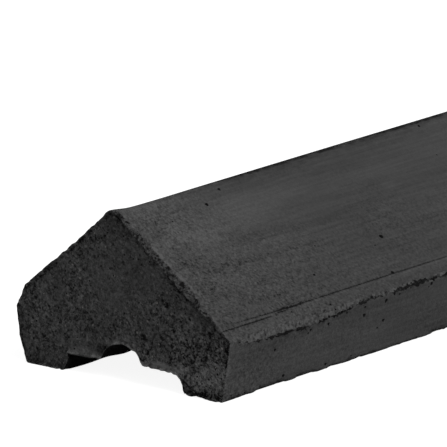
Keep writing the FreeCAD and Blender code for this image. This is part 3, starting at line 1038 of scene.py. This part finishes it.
def spot_group():
    """A mask of round spots: one may lie in each cell, a share of the cells has one, and its radius is a
    share of the cell. It serves for open pores and for bright sand alike."""
    group, start, end = new_group("spots", {"Size": 3, "Radius": 0.2, "Share": 0.3}, ["Mask"])
    scale = calc(group, "DIVIDE", 1 / MM, start["Size"])
    cells = add_node(group, "ShaderNodeTexVoronoi", {"Vector": start["Vector"], "Scale": scale})
    picks = add_node(group, "ShaderNodeSeparateColor", {0: cells.outputs["Color"]})
    radius = calc(group, "MULTIPLY", start["Radius"], calc(group, "ADD", 0.5, picks.outputs[1]))
    inside = calc(group, "SUBTRACT", 1, calc(group, "DIVIDE", cells.outputs["Distance"], radius))
    soft = calc(group, "MULTIPLY", inside, 3, clamp=True)
    chosen = calc(group, "LESS_THAN", picks.outputs[0], start["Share"])
    group.links.new(calc(group, "MULTIPLY", soft, chosen), end["Mask"])
    return group


BUBBLE_EDGE = 1.1  # of the radius: where a bubble's mask ends


def bubble_group():
    """A mask of the bug holes that are sunk in the mesh: for each bubble, the distance from its middle is
    divided by its radius, and the smallest of these tells how far inside the nearest bubble a place is."""
    group, start, end = new_group("bubbles", {"Softness": 0.3}, ["Mask"])
    nearest = FAR_OFF
    for middle, radius in bubbles:
        away = add_node(group, "ShaderNodeVectorMath", {0: start["Vector"], 1: middle}, operation="DISTANCE")
        rim = radius * math.hypot(1, BUBBLE_BELOW)
        nearest = calc(group, "MINIMUM", nearest, calc(group, "DIVIDE", away.outputs["Value"], rim))
    inside = calc(group, "SUBTRACT", BUBBLE_EDGE, nearest)
    group.links.new(calc(group, "DIVIDE", inside, start["Softness"], clamp=True), end["Mask"])
    return group


CLOUDS, SAND, SPOTS, BUBBLES = cloud_group(), sand_group(), spot_group(), bubble_group()
print("shared effects:", [group.name for group in (CLOUDS, SAND, SPOTS, BUBBLES)])

# %% [markdown]
# ## The three finishes
#
# Each finish adds up its shades of tone around a middle grey, and turns the sum into a colour between a dark
# and a light concrete. Pores are then laid over it in near black, as painted shade in them, and bright sand
# where the skin is broken.
# Heights add up in millimetres in the same way and go through one Bump node.

# %% A concrete finish
ROUGH_CONCRETE, ROUGH_VARIES = 0.82, 0.12
DULL = 0.03  # dry concrete has next to no gloss
# near black laid into pores, pin holes, bug holes and the crack: painted shade in them
PORE_SHADE = grey(0.006)


class Finish:
    """A concrete material while it is being made: its tree, its tone so far and its height so far."""

    def __init__(self, name, dark, light, middle):
        """A new material whose tone 0 lies between the dark and the light grey, at the middle's share."""
        self.material = bpy.data.materials.new(name)
        self.material.use_nodes = True
        self.tree = self.material.node_tree
        self.shader = self.tree.nodes["Principled BSDF"]
        self.place = add_node(self.tree, "ShaderNodeTexCoord").outputs["Object"]
        self.tone, self.height, self.dark, self.light = middle, 0.0, dark, light

    def effect(self, group, output, **values):
        """Places a shared effect with its own values, and returns one of its outputs."""
        made = add_node(self.tree, "ShaderNodeGroup", node_tree=group)
        self.tree.links.new(self.place, made.inputs["Vector"])
        for label, value in values.items():
            made.inputs[label].default_value = value
        return made.outputs[output]

    def clouds(self, size, stretch, detail):
        """The tone of clouds, whose size is in millimetres."""
        return self.effect(CLOUDS, "Tone", Size=size, Stretch=stretch, Detail=detail)

    def sand(self, size, output="Tone"):
        """The tone or the height of sand, whose size is in millimetres."""
        return self.effect(SAND, output, Size=size)

    def spots(self, size, radius, share):
        """The mask of spots, one to a cell of this size in millimetres at most."""
        return self.effect(SPOTS, "Mask", Size=size, Radius=radius, Share=share)

    def mark(self, name):
        """Reads one of the mesh's marks."""
        return add_node(self.tree, "ShaderNodeAttribute", attribute_name=name).outputs["Fac"]

    def calc(self, operation, *values, clamp=False):
        """A Math node on values, and its result."""
        return calc(self.tree, operation, *values, clamp=clamp)

    def scaled(self, value, factor, offset, clamp=False):
        """The value times the factor, plus the offset."""
        return self.calc("MULTIPLY_ADD", value, factor, offset, clamp=clamp)

    def times(self, first, *others):
        """The product of the values: one where the others are."""
        for other in others:
            first = self.calc("MULTIPLY", first, other)
        return first

    def add_tone(self, amount, *values):
        """Lightens by the amount where the product of the values is 1, and darkens where it is -1."""
        self.tone = self.scaled(self.times(*values), amount, self.tone)

    def add_height(self, millimetres, *values):
        """Raises by this height where the product of the values is 1."""
        self.height = self.scaled(self.times(*values), millimetres, self.height)

    def add_clouds(self, *rows):
        """Adds clouds to the tone, from rows of size, stretch, detail and amount."""
        for *shape, amount in rows:
            self.add_tone(amount, self.clouds(*shape))

    def add_marks(self, **amounts):
        """Adds each mark to the tone by its own amount."""
        for name, amount in amounts.items():
            self.add_tone(amount, self.mark(name))

    def finished(self, overlays, gloss=DULL):
        """Sets the shader: the tone's colour, then each overlay's colour by its mask, and one bump."""
        colour = blend(self.tree, self.calc("ADD", self.tone, 0, clamp=True), self.dark, self.light)
        for mask, overlay in overlays:
            colour = blend(self.tree, mask, colour, overlay)
        bump = add_node(self.tree, "ShaderNodeBump", {"Height": self.height, "Distance": MM, "Strength": 1})
        rough = self.scaled(self.tone, ROUGH_VARIES, ROUGH_CONCRETE)
        for value, name in ((colour, "Base Color"), (rough, "Roughness"), (bump.outputs[0], "Normal")):
            self.tree.links.new(value, self.shader.inputs[name])
        self.shader.inputs["Specular IOR Level"].default_value = gloss
        return self.material


# %% The formed faces
SKIN_SAND, OPEN_SAND = 0.29, 0.42  # how strongly sand shows on the skin, and where the skin is worn or broken


def formed_face():
    """Smooth concrete from the mould: cloudy, streaked along the cap and finely sandy, with stains, a light
    rim at the ends and pale specks. The side face is painted a little lighter, as painted light, and a patch
    below the eave is painted shade. The ridge has a line of painted shade, the scored lines are dark, the
    crack along the eave's break is near black as painted shade with a band of painted shadow below it, the
    side is blotched darker just above the foot, and the holes are near black as painted shade. Broken arrises
    are darker, partly as dirt and partly as painted shade in their pits. Sand stands open wherever the mesh
    is marked as worn or broken."""
    made = Finish("formed_face", grey(0.008), grey(0.120), 0.51)
    made.add_clouds((42, 2.2, 3, 0.06), (6, 9, 3, 0.075), (1.2, 24, 2, 0.08))
    # the side face is made a little lighter here: painted light
    made.add_marks(up_slope=0.075, side_face=0.06, far_along=0.10, stain=0.8, rim_light=0.60)
    # the crest's dark is painted shade along the ridge
    made.add_marks(scored=-0.62, crest=-0.52, worn=0.08)
    sandy, worn, from_break = made.mark("sandy"), made.mark("worn"), made.mark("from_break")
    made.add_tone(0.45, made.mark("crest"), made.clouds(2.2, 2, 2))
    for size in (1.4, 0.8):
        made.add_tone(SKIN_SAND, made.sand(size), sandy)
    made.add_tone(0.22, made.spots(3.2, 0.2, 0.12), sandy)

    # the crack lies where the distance from the break's line, made uneven, is less than its half width
    uneven = made.clouds(1.5, 1.2, 3)
    gap = made.calc("ABSOLUTE", made.scaled(uneven, 0.85, from_break))
    patches = made.calc("MAXIMUM", made.scaled(made.clouds(2.4, 1.5, 2), 0.95, 0.72), 0)
    half_width = made.times(made.mark("break_open"), patches)
    crack = made.calc("MULTIPLY", made.calc("SUBTRACT", half_width, gap), 1.7, clamp=True)
    # painted shadow: a soft dark band on the side just below the break's line; the crack itself is darkened
    # as painted shade
    shadow_band_from = made.calc("ABSOLUTE", made.calc("SUBTRACT", from_break, 1))
    made.add_tone(-0.14, made.scaled(shadow_band_from, -0.45, 1, clamp=True), made.mark("break_open"))
    made.add_tone(-0.30, crack)

    broken_back = made.scaled(uneven, 1.2, made.times(made.mark("arris_break"), 3), clamp=True)
    chipped = made.calc("MAXIMUM", made.mark("broken"), broken_back)
    # broken arrises are darker, partly as dirt and partly as painted shade in their pits
    made.add_tone(-0.30, chipped)
    for where in (worn, chipped):
        made.add_tone(OPEN_SAND, made.sand(1.5), where)
    blots = made.scaled(made.clouds(3, 2.2, 2), 1.6, 1.1)
    made.add_tone(-0.38, made.scaled(made.mark("from_foot"), -0.55, blots, clamp=True))

    made.add_height(0.012, made.clouds(0.9, 40, 2))
    made.add_height(0.05, made.sand(0.8, "Height"))
    made.add_height(0.35, made.sand(1.3, "Height"), chipped)
    made.add_height(0.25, made.sand(1.2, "Height"), worn)
    made.add_height(-0.5, crack)
    pin_holes = made.spots(6, 0.06, 0.3)
    made.add_height(-0.25, pin_holes)
    bright_sand = made.times(made.spots(2.4, 0.2, 0.2), chipped)
    # near black over the crack, the pin holes and the bug holes: painted shade
    dark = [(mask, PORE_SHADE) for mask in (made.times(crack, 0.8), pin_holes, made.effect(BUBBLES, "Mask"))]
    return made.finished([(bright_sand, grey(0.15, 0.03)), *dark])


# %% The broken ends


def broken_end():
    """Open sandy concrete: grains of two sizes in many greys, open pores that are near black as painted
    shade, bright grains of quartz, stains, painted shade along the soles, a line of painted shade where the
    paste has sunk inside the rim, and pale sand along the lip of the channel."""
    made = Finish("broken_end", grey(0.004), grey(0.22), 0.335)
    made.add_clouds((18, 1, 3, 0.05), (4, 1, 2, 0.05))
    # the sunk line is painted shade, and the stains carry painted shade along the soles
    made.add_marks(stain=1, sunk_line=-0.24, lip_light=0.9)
    opened = made.mark("open_sand")
    made.add_tone(0.25, made.sand(2.0), opened)
    made.add_tone(0.31, made.sand(0.9), opened)
    made.add_height(0.45, made.sand(1.7, "Height"))
    made.add_height(0.2, made.sand(0.8, "Height"))
    pores = made.spots(2.6, 0.22, 0.3)
    made.add_height(-0.6, pores)
    quartz = made.times(made.spots(2.2, 0.24, 0.3), opened)
    return made.finished([(quartz, grey(0.22, 0.03)), (pores, PORE_SHADE)])


# %% The underside


def rough_underside():
    """Struck concrete: darker, more uneven, with large open pores, and darkest inside the channel. This dark
    of the underside, deepest in the channel, is painted shade. It has no gloss at all."""
    # the underside's greys are darker than the formed faces' as painted shade
    made = Finish("rough_underside", grey(0.002), grey(0.060), 0.5)
    made.add_clouds((30, 2, 3, 0.10))
    # painted shade inside the channel
    made.add_marks(in_channel=-0.26)
    made.add_tone(0.16, made.sand(1.3))
    made.add_height(0.25, made.sand(1.4, "Height"))
    pores = made.spots(5, 0.2, 0.3)
    made.add_height(-0.7, pores)
    return made.finished([(pores, PORE_SHADE)], gloss=0)


for finish in (formed_face(), broken_end(), rough_underside()):  # in the order of the face numbers
    cap_mesh.materials.append(finish)
print("finishes:", [finish.name for finish in cap_mesh.materials])

# %% [markdown]
# ## Floor, light and camera
#
# Dark concrete is easiest to read on white. The floor is a pale sheet that looks white where it is lit and
# keeps a soft shadow. The light is one large soft lamp above the right slope, a little behind, and an even
# sky. So the slope is lightest, the side is darker and the end is darkest.

# %% The floor and the sky
FLOOR_HALF = 60
FLOOR_PALE = 0.5
FLOOR_WHITE = 0.9  # what the floor adds for the eye alone
SKY = 0.25


def seen_directly(tree):
    """1 for the eye and for mirror and glass, 0 for light that falls on the object."""
    rays = add_node(tree, "ShaderNodeLightPath").outputs
    eye = calc(tree, "ADD", rays["Is Camera Ray"], rays["Is Glossy Ray"], clamp=True)
    return calc(tree, "ADD", eye, rays["Is Transmission Ray"], clamp=True)


floor_mesh = bpy.data.meshes.new("floor")
sheet = [(x * FLOOR_HALF, y * FLOOR_HALF, 0) for x, y in ((-1, -1), (1, -1), (1, 1), (-1, 1))]
floor_mesh.from_pydata(sheet, [], [(0, 1, 2, 3)])
floor = bpy.data.objects.new("floor", floor_mesh)
bpy.context.scene.collection.objects.link(floor)
floor_paint = bpy.data.materials.new("pale_floor")
floor_paint.use_nodes = True
floor_tree = floor_paint.node_tree
floor_shader = floor_tree.nodes["Principled BSDF"]
floor_shader.inputs["Base Color"].default_value = grey(FLOOR_PALE)
floor_shader.inputs["Roughness"].default_value = 1
floor_shader.inputs["Specular IOR Level"].default_value = 0
floor_shader.inputs["Emission Color"].default_value = grey(1)
glow = calc(floor_tree, "MULTIPLY", seen_directly(floor_tree), FLOOR_WHITE)
floor_tree.links.new(glow, floor_shader.inputs["Emission Strength"])
floor_mesh.materials.append(floor_paint)

sky = bpy.data.worlds.new("studio")
bpy.context.scene.world = sky
sky.use_nodes = True
sky_tree = sky.node_tree
level = calc(sky_tree, "MULTIPLY_ADD", seen_directly(sky_tree), 1 - SKY, SKY)
sky_tree.links.new(level, sky_tree.nodes["Background"].inputs["Strength"])
sky_tree.nodes["Background"].inputs["Color"].default_value = grey(1)

# %% The lamp
LAMP_FROM = np.array([0.70, -0.15, 0.70])  # from the cap towards the lamp
LAMP_AWAY = 7
LAMP_SIZE = 4
LAMP_LEVEL = 0.57  # of what a white sheet facing it would need to look white


def aimed(back, roll=0.0):
    """A rotation whose back points along the given direction, with its top upwards, turned by the roll."""
    back = np.array(back) / np.linalg.norm(back)
    right = np.cross([0, 0, 1], back)
    right /= np.linalg.norm(right)
    up = np.cross(back, right)
    right, up = (math.cos(roll) * right + math.sin(roll) * up, math.cos(roll) * up - math.sin(roll) * right)
    return Matrix(np.stack([right, up, back], axis=1).tolist()).to_4x4()


lamp_away = LAMP_FROM / np.linalg.norm(LAMP_FROM) * LAMP_AWAY
lamp_light = bpy.data.lights.new("soft_lamp", "AREA")
lamp_light.size = LAMP_SIZE
lamp_light.energy = LAMP_LEVEL * math.pi**2 * LAMP_AWAY**2
lamp = bpy.data.objects.new("soft_lamp", lamp_light)
lamp.matrix_world = Matrix.Translation(lamp_away.tolist()) @ aimed(LAMP_FROM)
bpy.context.scene.collection.objects.link(lamp)

# %% The camera
VIEW_AZIMUTH, VIEW_ELEVATION, VIEW_ROLL = math.radians(44.3), math.radians(14.36), math.radians(-2.86)
VIEW_AWAY = 3.7
LENS, SENSOR = 653, 36
AIM_RIGHT, AIM_IN, AIM_UP = 20.1 * MM, 50.8 * MM, 66.7 * MM  # a spot on the right slope near the near end

view_back = np.array([
    math.sin(VIEW_AZIMUTH) * math.cos(VIEW_ELEVATION),
    -math.cos(VIEW_AZIMUTH) * math.cos(VIEW_ELEVATION),
    math.sin(VIEW_ELEVATION),
])
aim = np.array([AIM_RIGHT, near_end + AIM_IN, AIM_UP])
camera_data = bpy.data.cameras.new("camera")
camera_data.lens, camera_data.sensor_width = LENS, SENSOR
camera_data.clip_end = 200
camera = bpy.data.objects.new("camera", camera_data)
camera.matrix_world = Matrix.Translation((aim + VIEW_AWAY * view_back).tolist()) @ aimed(view_back, VIEW_ROLL)
bpy.context.scene.collection.objects.link(camera)
bpy.context.scene.camera = camera
bpy.context.scene.view_settings.view_transform = "Standard"
print("camera:", np.round(camera.matrix_world.translation, 2))
